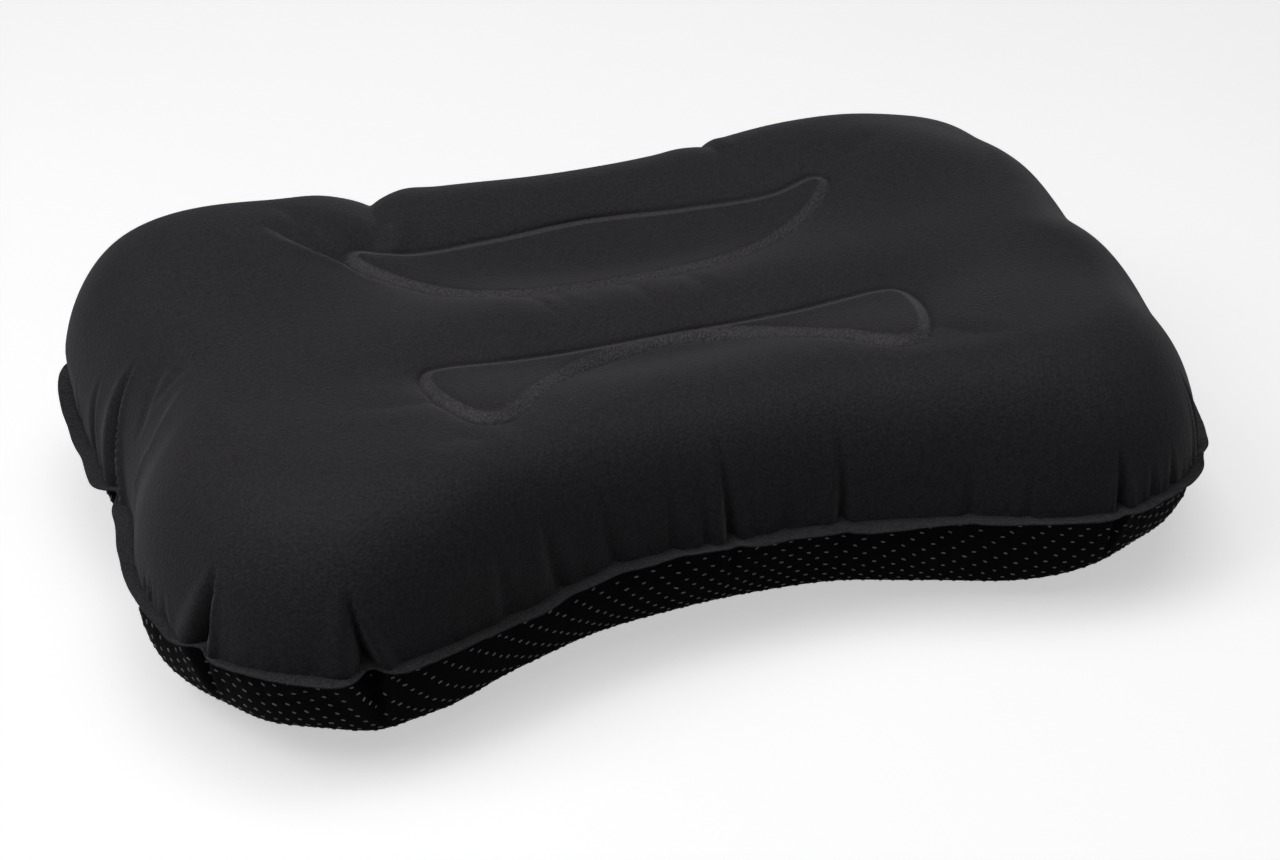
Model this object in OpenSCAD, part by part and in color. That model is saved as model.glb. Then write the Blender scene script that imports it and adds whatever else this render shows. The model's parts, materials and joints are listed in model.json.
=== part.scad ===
// Inflatable camp pillow: two welded fabric panels, two internal tie webs that
// hold the top down along closed weld lines, and a two-stage air valve in the
// lower panel near a rear corner. Millimetres, +Z up, the pillow rests on z = 0,
// +X runs along its long side and -Y is the curved front edge.

/* [Pillow] */
// Overall width across the weld flange
pillow_w = 452; // [430:2:470]
// Overall depth across the weld flange
pillow_d = 289; // [275:1:305]
// Height of the weld flange above the rest face
seam_z = 47; // [44:1:50]
// Height of the top crest above the weld flange
crest_h = 58.5; // [54:0.5:64]
// Extra height of the two rear corner lobes
rear_lobe_h = 10; // [4:1:12]
// Extra height of the two front corner lobes
front_lobe_h = 2; // [0:1:6]
// Plan width over which the top rolls up from the flange
top_roll = 47; // [42:1:52]
// Plan width over which the underside rolls down from the flange
bottom_roll = 50; // [44:1:56]
// Width of the flat weld flange round the edge
flange_w = 8; // [6:0.5:10]
// Thickness of each coated fabric panel
skin_t = 0.6; // [0.4:0.1:0.8]

/* [Tie webs] */
// Depth of the hollow over the rear weld
rear_hollow = 15; // [8:1:18]
// Depth of the hollow over the front weld
front_hollow = 11; // [6:1:14]
// Width of each weld tab
tab_w = 7; // [5:0.5:8]
// Thickness of the tie film
film_t = 0.6; // [0.4:0.1:0.8]

/* [Valve] */
// Distance of the valve from the centre plane
valve_x = 100; // [92:2:106]
// Height of the valve centre above the rest face
valve_z = 25; // [24:0.5:26]
// Downward tilt of the valve axis, degrees
valve_tilt = 26; // [24:1:28]
// Radius of the weld disc
disc_r = 17; // [16:0.5:17]
// Radius of the socket bore that takes the dump plug
socket_r = 10; // [10:0.05:10.2]
// Radius of the mouth bore
mouth_r = 7; // [6.8:0.05:7.05]

/* [Hidden] */
$fn = 64;
gap = 0.05;   // hairline gap that keeps touching parts apart

film_color = [0.75, 0.75, 0.72];
moulding_color = [0.06, 0.06, 0.065];
button_color = [0.80, 0.80, 0.78];

// ---------- outlines ----------
// [x, y] of the right half of the flange edge, middle of the front to middle of the back,
// before it is fitted to the pillow's width and depth.
EDGE_HALF = [
    [0, -95], [45, -97], [84, -108], [121, -121], [158, -125], [191, -109],
    [213, -75], [221, -37], [217, 7], [223, 46], [226, 84], [222, 118],
    [205, 145], [172, 161], [120, 164], [60, 162], [0, 160]];
// Points drawn along each span of EDGE_HALF; the span that carries the valve is finer.
EDGE_STEPS = [3, 3, 3, 3, 3, 3, 3, 3, 3, 3, 3, 3, 3, 3, 9, 4];
// [x, y] of the right half of each closed tie line, front to back.
REAR_LINE = [
    [0, 18.8], [40, 18.4], [64, 24.2], [83, 35], [95.5, 47],
    [99.5, 53], [93.5, 57], [79, 57], [45, 63.2], [0, 67.7]];
FRONT_LINE = [
    [0, -38], [34, -43.5], [59, -62.5], [77, -79], [87.5, -77],
    [95, -62.5], [98, -46], [94, -35.5], [57, -33], [0, -28]];

// Closed loop from its right half, counter-clockwise from above
function mirrored(half) = concat(half, [for (i = [len(half)-2:-1:1]) [-half[i].x, half[i].y]]);

// Catmull-Rom point at share t of span i of a closed loop
function spline_point(loop, i, t) =
    let (n = len(loop), a = loop[(i-1+n)%n], b = loop[i], c = loop[(i+1)%n], d = loop[(i+2)%n])
    0.5*(2*b + (c-a)*t + (2*a-5*b+4*c-d)*t*t + (-a+3*b-3*c+d)*t*t*t);

// Smooth loop with steps[i] points on span i
function sampled(loop, steps) =
    [for (i = [0:len(loop)-1]) for (k = [0:steps[i]-1]) spline_point(loop, i, k/steps[i])];

// Unit normals of a closed loop, pointing inward
function inward(loop) = let (n = len(loop)) [for (i = [0:n-1])
    let (t = loop[(i+1)%n] - loop[(i-1+n)%n]) [-t.y, t.x]/norm(t)];

// ---------- polyhedron faces ----------
// Triangles that join the ring of n points starting at index a to the ring starting at b
function band(a, b, n, flip = false) = [for (i = [0:n-1])
    let (k = (i+1)%n, t1 = [a+i, a+k, b+k], t2 = [a+i, b+k, b+i])
    each flip ? [[t1[0], t1[2], t1[1]], [t2[0], t2[2], t2[1]]] : [t1, t2]];

// One face over the ring of n points starting at index a
function cap(a, n, flip = false) = [for (i = [0:n-1]) a + (flip ? n-1-i : i)];

// ---------- plan of the skins ----------
raw_edge = sampled(mirrored(EDGE_HALF),
                   concat(EDGE_STEPS, [for (i = [len(EDGE_STEPS)-1:-1:0]) EDGE_STEPS[i]]));
raw_x = [for (p = raw_edge) p.x];
raw_y = [for (p = raw_edge) p.y];
EDGE = [for (p = raw_edge)
    [p.x*pillow_w/(max(raw_x)-min(raw_x)),
     (p.y-(max(raw_y)+min(raw_y))/2)*pillow_d/(max(raw_y)-min(raw_y))]];
N = len(EDGE);
INWARD = inward(EDGE);
// Inside edge of the flange, where the skins part
SEAM = [for (i = [0:N-1]) EDGE[i] + INWARD[i]*flange_w];
// Narrow loop in the middle, where the rings end
core_y = -4.5;
CORE = [for (p = SEAM)
    [max(-120, min(120, 0.62*p.x)), core_y + 9*(p.y-core_y)/sqrt(pow(p.y-core_y, 2)+900)]];

// Distances in from the seam of the close rings, then shares of the rest of the way to the core
NEAR = [0, 0.3, 1.2, 3, 6, 10, 16, 25, 36, 50];
FAR = [0.25, 0.5, 0.75, 1];
last_near = NEAR[len(NEAR)-1];
RINGS = len(NEAR) + len(FAR);
last = RINGS - 1;

// Distance in from the seam, and plan position, of point i on ring j
function inset(i, j) = j < len(NEAR) ? NEAR[j]
    : last_near + (norm(SEAM[i]-CORE[i])-last_near)*FAR[j-len(NEAR)];
function plan(i, j) = SEAM[i] + (CORE[i]-SEAM[i])*inset(i, j)/norm(SEAM[i]-CORE[i]);

// ---------- height of the skins ----------
function bell(x, y, centre, spread) =
    exp(-pow((x-centre.x)/spread.x, 2) - pow((y-centre.y)/spread.y, 2));

// Height of the top above the flange, clear of the edge roll
function rise(x, y) = crest_h
    + front_lobe_h*bell(abs(x), y, centre = [150, -81], spread = [55, 45])
    + rear_lobe_h*bell(abs(x), y, centre = [141, 74], spread = [60, 50])
    - rear_hollow*bell(x, y, centre = [0, 42], spread = [100, 36])
    - front_hollow*bell(x, y, centre = [0, -47], spread = [98, 27]);

// Share of the full height reached at a distance in from the seam; power 2 is a quarter ellipse
function roll(dist, width, power) =
    pow(1-pow(1-min(1, dist/width), power), 1/power);
function top_z(x, y, dist) = seam_z + rise(x, y)*roll(dist, top_roll, power = 1.95);
function low_z(dist) = seam_z*(1-roll(dist, bottom_roll, power = 2.45));

// Flat seat for the valve: fully flat within the inner radius, blended out to the outer one
valve_centre = [valve_x, pillow_d/2 - 13.5, valve_z];
valve_axis = [0, cos(valve_tilt), -sin(valve_tilt)];
seat_flat_r = 22;
seat_blend_r = 28;
function smooth_step(a, b, x) = let (t = max(0, min(1, (x-a)/(b-a)))) t*t*(3-2*t);
function seated(p) =
    let (q = p-valve_centre, h = q*valve_axis, r = norm(q-h*valve_axis))
    p - valve_axis*h*(1-smooth_step(seat_flat_r, seat_blend_r, r));

// Outer faces of the skins, ring by ring from the seam to the core
core_dip = 2.2;       // core below the nominal crest
low_seam_drop = 1;    // least drop of the underside just inside the seam
TOP_GRID = [for (j = [0:last]) for (i = [0:N-1]) let (q = plan(i, j))
    [q.x, q.y, j == last ? seam_z+crest_h-core_dip
             : j == 0 ? seam_z+gap+skin_t
             : top_z(q.x, q.y, inset(i, j))]];
LOW_GRID = [for (j = [0:last]) for (i = [0:N-1])
    let (q = plan(i, j), seam_low = seam_z-gap-skin_t)
    j == 0 ? [q.x, q.y, seam_low]
           : seated([q.x, q.y, min(seam_low-low_seam_drop, low_z(inset(i, j)))])];

// Inner face of a skin. side is +1 for the top, -1 for the underside.
function inner_grid(grid, side) = [for (j = [0:last]) for (i = [0:N-1])
    let (p = grid[j*N+i])
    j == last ? [p.x, p.y, p.z-side*skin_t]
    : j == 0 ? [p.x+INWARD[i].x*skin_t, p.y+INWARD[i].y*skin_t, p.z-side*skin_t]
    : let (along = grid[j*N+(i+1)%N] - grid[j*N+(i-1+N)%N],
           across = grid[(j+1)*N+i] - grid[(j-1)*N+i],
           normal = cross(along, across))
      p - side*skin_t*normal/norm(normal)];

// ---------- the two fabric panels ----------
// A closed skin: outer grid, inner grid, and the flat lip beyond the seam
module skin(grid, side) {
    function lip(z) = [for (p = EDGE) [p.x, p.y, z]];
    up = side > 0;
    inner = RINGS*N;         // first index of the inner grid
    lip_outer = 2*inner;
    lip_inner = lip_outer + N;
    points = concat(grid, inner_grid(grid, side),
                    lip(seam_z + side*(gap+skin_t)), lip(seam_z + side*gap));
    faces = concat(
        [for (j = [0:last-1]) each band(j*N, (j+1)*N, N, up)],
        [for (j = [0:last-1]) each band(inner+j*N, inner+(j+1)*N, N, !up)],
        band(lip_outer, 0, N, up),
        band(lip_inner, inner, N, !up),
        band(lip_inner, lip_outer, N, up),
        [cap(last*N, N, up), cap(inner+last*N, N, !up)]);
    polyhedron(points, faces, convexity = 10);
}

module top_panel() { color([0.17, 0.165, 0.18]) skin(TOP_GRID, 1); }

module bottom_panel() {
    color([0.03, 0.03, 0.032])
    difference() {
        skin(LOW_GRID, -1);
        valve_place() translate([0, 0, -4]) cylinder(r = socket_r+2, h = 8);
    }
}

// ---------- internal tie webs ----------
tie_top_gap = 2.2;   // top tab below the inside of the top skin

// An I-shaped strip bent round a closed line: a weld tab under the top skin, a wall,
// and a tab low_gap above the lower skin
module tie(line, low_gap) {
    corners = mirrored(line);
    loop = sampled(corners, [for (p = corners) 3]);
    normal = inward(loop);
    n = len(loop);
    tab = tab_w/2;
    wall = film_t/2;
    // [distance outward from the line, 0 = bottom or 1 = top, height above that level]
    section = [
        [tab, 0, 0], [tab, 0, film_t], [wall, 0, film_t],
        [wall, 1, -film_t], [tab, 1, -film_t], [tab, 1, 0],
        [-tab, 1, 0], [-tab, 1, -film_t], [-wall, 1, -film_t],
        [-wall, 0, film_t], [-tab, 0, film_t], [-tab, 0, 0]];
    m = len(section);
    function level(q, top) =
        top ? seam_z + rise(q.x, q.y) - skin_t - tie_top_gap : skin_t + low_gap;
    points = [for (i = [0:n-1]) for (s = section)
        let (q = loop[i] - normal[i]*s[0]) [q.x, q.y, level(q, s[1] == 1) + s[2]]];
    polyhedron(points, [for (i = [0:n-1]) each band(i*m, ((i+1)%n)*m, m)], convexity = 10);
}

module front_tie() { color(film_color) tie(FRONT_LINE, low_gap = 0.9); }
module rear_tie() { color(film_color) tie(REAR_LINE, low_gap = 0.15); }

// ---------- valve ----------
// Valve frame: z = 0 is the outside of the lower panel, +z points out of the pillow,
// +x points to the pillow's -X and +y points up.
rim_z = 4;                  // top of the socket neck
plug_base_z = -5;           // inner end of the dump plug
plug_bore_r = 6.3;
plug_rim_r = 12.6;
groove_r = 8.65;            // floor of the seal groove
groove_z = [2, 3.2];        // its two sides
spigot_r = 8.6;             // outside of the mouth lip
mouth_z = rim_z + 4.4;      // top of the mouth lip
vent_plate_t = 1.4;
cap_r = 10.8;
cap_z = mouth_z + 0.1;      // underside of the cap's disc
cap_t = 1.2;
tether_gap = 0.15;          // from a strap's arm to the rim it ties
stem_r = 1.3;
stem_fit_r = 1.32;          // bore of the parts pushed on the stem
button_z = -0.6;            // underside of the button head
flap_top_z = plug_base_z - gap;
flap_t = 0.7;
clip_top_z = flap_top_z - flap_t - gap;
clip_t = 0.8;

module valve_place() { translate(valve_centre) rotate([90+valve_tilt, 0, 180]) children(); }

module ring(outer_r, bore_r, z0, z1) {
    translate([0, 0, z0]) difference() {
        cylinder(r = outer_r, h = z1-z0);
        translate([0, 0, -1]) cylinder(r = bore_r, h = z1-z0+2);
    }
}

// A finger tab: a bar along +x with a round far end
module finger(start, end, width, z0, z1) {
    translate([start, -width/2, z0]) cube([end-start-width/2, width, z1-z0]);
    translate([end-width/2, 0, z0]) cylinder(r = width/2, h = z1-z0);
}

// A flat strap that rises from a foot and turns inward in a quarter bend.
// bend: [x, z] of the bend centre; side: +1 or -1, the side of the bend its leg is on;
// foot_x, arm_x: where the foot and the arm end nearest the valve axis.
module strap(bend, side, width, thick, bend_r, foot_z, foot_x, arm_x) {
    leg = bend.x + side*bend_r;
    rotate([90, 0, 0]) translate([0, 0, -width/2]) union() {
        translate([min(foot_x, leg), foot_z, 0]) cube([abs(leg-foot_x), thick, width]);
        translate([min(leg, leg-side*thick), foot_z, 0]) cube([thick, bend.y-foot_z, width]);
        translate([min(bend.x, arm_x), bend.y+bend_r-thick, 0])
            cube([abs(arm_x-bend.x), thick, width]);
        intersection() {
            translate([bend.x, bend.y, 0]) difference() {
                cylinder(r = bend_r, h = width);
                translate([0, 0, -1]) cylinder(r = bend_r-thick, h = width+2);
            }
            translate([min(bend.x, leg), bend.y, 0]) cube([bend_r, bend_r, width]);
        }
    }
}

// Ring of film welded inside the panel to back up the valve
module valve_patch() {
    color(film_color) valve_place()
    ring(disc_r-2.7, socket_r+2.1, z0 = -skin_t-0.9, z1 = -skin_t-0.3);
}

// Weld disc and socket neck with a bead round it, one moulding
module valve_flange() {
    neck_depth = 6;
    color(moulding_color) valve_place() difference() {
        union() {
            translate([0, 0, gap]) cylinder(r = disc_r, h = 1.1);
            translate([0, 0, -neck_depth]) cylinder(r = socket_r+1.6, h = neck_depth+rim_z);
            translate([0, 0, 2.9]) cylinder(r = socket_r+2.0, h = 0.8);
        }
        translate([0, 0, -neck_depth-1]) cylinder(r = socket_r, h = 14);
    }
}

// Strap that ties the plug to the weld disc, at rest
module plug_tether() {
    color(moulding_color) valve_place()
    strap(bend = [-15.5, rim_z], side = -1, width = 7, thick = 0.7, bend_r = 1.1,
          foot_z = 1.25, foot_x = -13.2, arm_x = -plug_rim_r-tether_gap);
}

// Dump plug: tapered plug, rim, mouth lip, finger tab, and the vented plate that
// guides the button stem
module dump_plug() {
    tail_r = 7.9;
    shoulder_z = 2.2;      // step from the plug bore to the mouth bore
    rim_low = rim_z + 0.1;
    rim_top = rim_z + 1.9;
    function taper(z) = socket_r - 0.9 + 0.8*(z+2)/6;
    profile = [
        [plug_bore_r, plug_base_z], [tail_r, plug_base_z], [tail_r, -2], [taper(-2), -2],
        [taper(groove_z[0]), groove_z[0]], [groove_r, groove_z[0]],
        [groove_r, groove_z[1]], [taper(groove_z[1]), groove_z[1]],
        [taper(rim_z), rim_low], [plug_rim_r, rim_low],
        [plug_rim_r, rim_top], [spigot_r, rim_top],
        [spigot_r, mouth_z], [mouth_r, mouth_z],
        [mouth_r, shoulder_z], [plug_bore_r, shoulder_z]];
    color([0.07, 0.07, 0.075]) valve_place() difference() {
        union() {
            rotate_extrude() polygon(profile);
            translate([0, 0, plug_base_z]) cylinder(r = 7, h = vent_plate_t);
            rotate([0, 0, 90])
                finger(start = 11.5, end = 18, width = 9, z0 = rim_z+0.3, z1 = rim_z+1.7);
        }
        // stem hole, then the ring of vents
        translate([0, 0, plug_base_z-1]) cylinder(r = stem_r+0.05, h = 6);
        for (a = [0:60:300])
            rotate([0, 0, a+30]) translate([4.5, 0, plug_base_z-1]) cylinder(r = 1.2, h = 4);
    }
}

// O-ring of the dump plug
module plug_seal() {
    seal_r = 0.55;
    color([0.55, 0.56, 0.55]) valve_place()
    translate([0, 0, (groove_z[0]+groove_z[1])/2])
    rotate_extrude() translate([groove_r+seal_r+gap, 0]) circle(r = seal_r);
}

// Strap that ties the cap to the plug's rim, at rest
module cap_tether() {
    color(moulding_color) valve_place()
    strap(bend = [15, cap_z], side = 1, width = 6, thick = 0.8, bend_r = 1.1,
          foot_z = rim_z+0.5, foot_x = plug_rim_r+tether_gap, arm_x = cap_r+tether_gap);
}

// Return spring between the vented plate and the button head
module button_spring() {
    turns = 3;
    turn_steps = 14;
    wire_sides = 6;
    coil_r = 2.35;
    wire_r = 0.22;
    end_gap = wire_r + 0.04;
    z0 = plug_base_z + vent_plate_t + end_gap;
    z1 = button_z - end_gap;
    n = turns*turn_steps;
    points = [for (i = [0:n]) for (j = [0:wire_sides-1])
        let (a = 360*i/turn_steps, b = 360*j/wire_sides, r = coil_r + wire_r*cos(b))
        [r*cos(a), r*sin(a), z0 + (z1-z0)*i/n + wire_r*sin(b)]];
    faces = concat(
        [for (i = [0:n-1]) each band(i*wire_sides, (i+1)*wire_sides, wire_sides)],
        [cap(0, wire_sides, true), cap(n*wire_sides, wire_sides)]);
    color([0.72, 0.73, 0.75]) valve_place() polyhedron(points, faces, convexity = 10);
}

// Dished button head and stem
module release_button() {
    color(button_color) valve_place() union() {
        translate([0, 0, -7]) cylinder(r = stem_r, h = 7);
        difference() {
            translate([0, 0, button_z]) cylinder(r = 4.2, h = 1.2);
            translate([0, 0, 0.3]) cylinder(r = 3.2, h = 1);
        }
    }
}

// Silicone flap that seals under the vented plate
module check_flap() {
    color([0.86, 0.87, 0.86]) valve_place()
    ring(7.2, stem_fit_r, flap_top_z-flap_t, flap_top_z);
}

// Push-on clip that holds the flap on the stem
module stem_clip() {
    color(button_color) valve_place() ring(2.6, stem_fit_r, clip_top_z-clip_t, clip_top_z);
}

// Mouth cap: hollow plug, top disc and finger tab
module valve_cap() {
    color([0.08, 0.08, 0.085]) valve_place() difference() {
        union() {
            translate([0, 0, 5.6]) cylinder(r1 = mouth_r-0.3, r2 = mouth_r-0.08, h = 3);
            translate([0, 0, cap_z]) cylinder(r = cap_r, h = cap_t);
            rotate([0, 0, 180])
                finger(start = 10, end = 16.5, width = 8, z0 = cap_z, z1 = cap_z+cap_t);
        }
        translate([0, 0, 5]) cylinder(r = 5.4, h = 3.8);
    }
}

top_panel();
bottom_panel();
front_tie();
rear_tie();
valve_patch();
valve_flange();
plug_tether();
dump_plug();
plug_seal();
cap_tether();
button_spring();
release_button();
check_flap();
stem_clip();
valve_cap();
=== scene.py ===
"""An inflated cushion: brushed knit top, woven base with grip dots, welded rim, valve underneath.

It rests on z = 0 with its long side along x. The front, with the waist, faces -y.
Work is in millimetres, centred in plan on the rim; make_mesh turns it into metres.
"""
import bpy
import json
import math
import numpy as np
from mathutils import Vector, Matrix, kdtree, geometry


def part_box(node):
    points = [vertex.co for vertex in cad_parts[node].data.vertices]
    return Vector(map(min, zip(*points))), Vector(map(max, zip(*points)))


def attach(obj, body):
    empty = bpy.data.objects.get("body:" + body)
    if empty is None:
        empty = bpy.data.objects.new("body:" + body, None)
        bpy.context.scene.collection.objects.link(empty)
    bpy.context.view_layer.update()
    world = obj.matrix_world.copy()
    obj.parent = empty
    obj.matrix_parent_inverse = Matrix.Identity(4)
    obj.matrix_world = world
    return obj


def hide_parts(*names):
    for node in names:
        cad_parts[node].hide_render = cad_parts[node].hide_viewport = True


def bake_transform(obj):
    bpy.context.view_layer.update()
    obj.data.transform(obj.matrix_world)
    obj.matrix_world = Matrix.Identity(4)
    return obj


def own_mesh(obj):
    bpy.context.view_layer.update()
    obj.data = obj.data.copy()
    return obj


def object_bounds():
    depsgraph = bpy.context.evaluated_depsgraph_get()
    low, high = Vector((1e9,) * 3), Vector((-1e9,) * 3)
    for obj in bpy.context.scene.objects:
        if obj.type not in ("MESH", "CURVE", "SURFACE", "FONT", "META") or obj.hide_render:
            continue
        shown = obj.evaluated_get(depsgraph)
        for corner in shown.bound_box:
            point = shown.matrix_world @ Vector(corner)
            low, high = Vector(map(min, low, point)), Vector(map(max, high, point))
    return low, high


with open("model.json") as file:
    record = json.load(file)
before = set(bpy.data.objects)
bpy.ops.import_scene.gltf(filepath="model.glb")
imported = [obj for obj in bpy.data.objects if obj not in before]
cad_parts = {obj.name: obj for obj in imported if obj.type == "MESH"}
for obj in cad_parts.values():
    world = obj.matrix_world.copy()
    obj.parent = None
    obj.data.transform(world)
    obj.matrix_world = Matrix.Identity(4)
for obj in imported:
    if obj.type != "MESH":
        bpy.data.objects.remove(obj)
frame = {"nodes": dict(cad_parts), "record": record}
cad_lo, cad_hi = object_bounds()

# ------------------------------------------------------------------ sizes, in mm
MM = 1000.0                       # mm in a metre
WIDTH = (cad_hi.x - cad_lo.x) * MM
DEPTH = (cad_hi.y - cad_lo.y) * MM
top_lo, top_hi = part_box("top_panel")
low_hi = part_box("bottom_panel")[1]
SEAM_Z = 0.5 * (top_lo.z + low_hi.z) * MM
RISE_SCALE = (top_hi.z * MM - SEAM_Z) / 67.0   # RISE_BELLS is written for a 67 mm rise
FLANGE = 8.0                      # rim to seam
BAND = 4.7                        # width of the two weld bands
STATIONS = 900                    # points round the seam
TOP_WALL = 46.95                  # plan distance from the seam over which the top curves up
LOW_WALL = 50.32                  # the same for the base
LOW_POWER = 2.45                  # squareness of the base's wall
TOP_REACH = 50.0                  # plan distance covered by the rings of the top
LOW_REACH = 52.0

# Right half of the rim (x, y), from the middle of the front round to the middle of the back
RIM_HALF = [
    (0, -95), (45, -97), (84, -108), (121, -121), (158, -125), (191, -109), (213, -75), (221, -37),
    (217, 7), (223, 46), (226, 84), (222, 118), (205, 145), (172, 161), (120, 164), (60, 162),
    (0, 160)]
# Right halves of the two closed weld lines (x, y), at the outer edge of each band
FRONT_HALF = [
    (0, -16), (34, -24), (58, -43), (70, -56), (80, -61.5), (90, -59), (97, -47), (101, -31),
    (99.5, -18), (90, -12.5), (57, -12), (0, -9.0)]
REAR_HALF = [
    (0, 35.5), (40, 35), (65, 41), (85, 52), (97, 61), (104, 69), (105.5, 76), (99, 80.5),
    (80, 79), (45, 85.5), (0, 90)]


# ------------------------------------------------------------------ plan curves
def mirrored_loop(half):
    half = np.array(half, float)
    other = half[-2:0:-1].copy()
    other[:, 0] *= -1
    return np.vstack([half, other])


def catmull(points, steps):
    """Closed Catmull-Rom curve through the points."""
    before, here = np.roll(points, 1, 0), points
    after, beyond = np.roll(points, -1, 0), np.roll(points, -2, 0)
    out = []
    for k in range(steps):
        t = k / steps
        out.append(0.5 * (2 * here + (after - before) * t
                          + (2 * before - 5 * here + 4 * after - beyond) * t * t
                          + (-before + 3 * here - 3 * after + beyond) * t ** 3))
    return np.stack(out, 1).reshape(-1, points.shape[1])


def resample(curve, count):
    """Evenly spaced points round a closed curve."""
    closed = np.vstack([curve, curve[:1]])
    length = np.r_[0, np.cumsum(np.linalg.norm(np.diff(closed, axis=0), axis=1))]
    at = np.linspace(0, length[-1], count, endpoint=False)
    return np.stack([np.interp(at, length, closed[:, k]) for k in range(closed.shape[1])], -1)


def inward(curve):
    """Unit normals pointing into a loop that runs anticlockwise."""
    along = np.roll(curve, -1, 0) - np.roll(curve, 1, 0)
    along /= np.linalg.norm(along, axis=1)[:, None]
    return np.stack([-along[:, 1], along[:, 0]], -1)


rim = resample(catmull(mirrored_loop(RIM_HALF), 16), STATIONS)
Y_MID = ((rim.max(0) + rim.min(0)) / 2)[1]    # the tables above and RISE_BELLS have y = 0 here
rim = (rim - [0, Y_MID]) * [WIDTH / np.ptp(rim[:, 0]), DEPTH / np.ptp(rim[:, 1])]
INWARD = inward(rim)
SEAM_XY = rim + INWARD * FLANGE
PERIMETER = np.linalg.norm(np.roll(SEAM_XY, -1, 0) - SEAM_XY, axis=1).sum()
# Rays run from each seam point to its point on a straight spine along x
SPINE = np.stack([np.clip(0.62 * SEAM_XY[:, 0], -120, 120), np.full(STATIONS, 15 - Y_MID)], -1)
RAY = np.linalg.norm(SEAM_XY - SPINE, axis=1)
# Station numbers from -450 to 449, negative on the left
SIGNED = (np.arange(STATIONS) + STATIONS // 2) % STATIONS - STATIONS // 2
SEAM_ANGLE = np.arange(STATIONS) / STATIONS * 2 * np.pi
WELD_LOOPS = [resample(catmull(mirrored_loop(half), 12), 420) - [0, Y_MID]
              for half in (FRONT_HALF, REAR_HALF)]


# ------------------------------------------------------------------ small tools
def smooth(low, high, x):
    t = np.clip((x - low) / (high - low), 0, 1)
    return t * t * (3 - 2 * t)


def near_points(x, y, path, margin):
    """Mask of the points in a path's plan box, widened by the margin."""
    return ((x > path[:, 0].min() - margin) & (x < path[:, 0].max() + margin)
            & (y > path[:, 1].min() - margin) & (y < path[:, 1].max() + margin))


def plan_tree(points):
    tree = kdtree.KDTree(len(points))
    for n, p in enumerate(points):
        tree.insert((p[0], p[1], 0), n)
    tree.balance()
    return tree


def nearest_seam(x, y):
    tree = plan_tree(SEAM_XY)
    return np.array([tree.find((a, b, 0))[1] for a, b in zip(x, y)])


def loop_distance(x, y, loop):
    """Signed distance to a closed loop, positive outside."""
    out = np.empty(len(x))
    start, end = loop, np.roll(loop, -1, 0)
    edge = end - start
    length2 = (edge ** 2).sum(1)
    xi, yi = start[None, :, 0], start[None, :, 1]
    xj, yj = end[None, :, 0], end[None, :, 1]
    chunk = 20000                 # points at a time, to bound memory
    for s in range(0, len(x), chunk):
        p = np.stack([x[s:s + chunk], y[s:s + chunk]], -1)
        offset = p[:, None, :] - start[None]
        t = np.clip((offset * edge[None]).sum(2) / length2[None], 0, 1)
        gap = offset - t[..., None] * edge[None]
        distance = np.sqrt((gap ** 2).sum(2).min(1))
        px, py = p[:, None, 0], p[:, None, 1]
        crossed = ((yi > py) != (yj > py)) & (px < (xj - xi) * (py - yi) / (yj - yi + 1e-12) + xi)
        inside = (crossed.sum(1) % 2) == 1
        out[s:s + chunk] = np.where(inside, -distance, distance)
    return out


def arc_length(distance, z):
    return np.r_[0, np.cumsum(np.hypot(np.diff(distance), np.diff(z)))]


def band_weight(distance):
    """1 on a weld band, 0 away from it."""
    return smooth(-0.5, 0.1, -distance) * smooth(-0.5, 0.1, distance + BAND)


def vertex_normals(points, triangles):
    a, b, c = (points[triangles[:, k]] for k in range(3))
    face = np.cross(b - a, c - a)
    out = np.zeros_like(points)
    for k in range(3):
        np.add.at(out, triangles[:, k], face)
    return out / (np.linalg.norm(out, axis=1)[:, None] + 1e-12)


def grid_faces(rows, cols, wrap_rows=False, wrap_cols=False, flip=False):
    """Quads over a grid of points stored row by row."""
    faces = []
    for i in range(rows if wrap_rows else rows - 1):
        for j in range(cols if wrap_cols else cols - 1):
            next_i, next_j = (i + 1) % rows, (j + 1) % cols
            quad = (i * cols + j, next_i * cols + j, next_i * cols + next_j, i * cols + next_j)
            faces.append(quad[::-1] if flip else quad)
    return faces


def tube_faces(rows, cols, flip=False):
    """Faces of an open run of closed sections, capped at both ends."""
    caps = [tuple(range(cols)), tuple((rows - 1) * cols + j for j in range(cols))[::-1]]
    return grid_faces(rows, cols, wrap_cols=True, flip=flip) + caps


def make_mesh(name, points, faces, mat):
    mesh = bpy.data.meshes.new(name)
    mesh.from_pydata([tuple(p) for p in (points / MM)], [],
                     [tuple(int(i) for i in f) for f in faces])
    mesh.update()
    mesh.validate()
    mesh.polygons.foreach_set("use_smooth", np.ones(len(mesh.polygons), bool))
    obj = bpy.data.objects.new(name, mesh)
    bpy.context.scene.collection.objects.link(obj)
    mesh.materials.append(mat)
    return obj


def set_attributes(obj, **columns):
    for name, values in columns.items():
        attribute = obj.data.attributes.new(name, "FLOAT", "POINT")
        attribute.data.foreach_set("value", np.asarray(values, np.float32))


def piece(obj, replaces=(), body="shell"):
    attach(obj, body)
    if replaces:
        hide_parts(*replaces)


# ------------------------------------------------------------------ broad shape
# Plateau height above the seam, and bells on it: height, |x|, y, spread in x, spread in y
RISE_BASE = 58.71
RISE_BELLS = [
    (2.1, 148.5, -61.7, 55, 45), (10.35, 141.5, 93.3, 60, 50), (-1.66, 0, -62, 90, 26),
    (2.86, 0, 130, 90, 40), (-14.84, 0, 60, 100, 34), (-10.08, 0, -20, 95, 24)]
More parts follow.
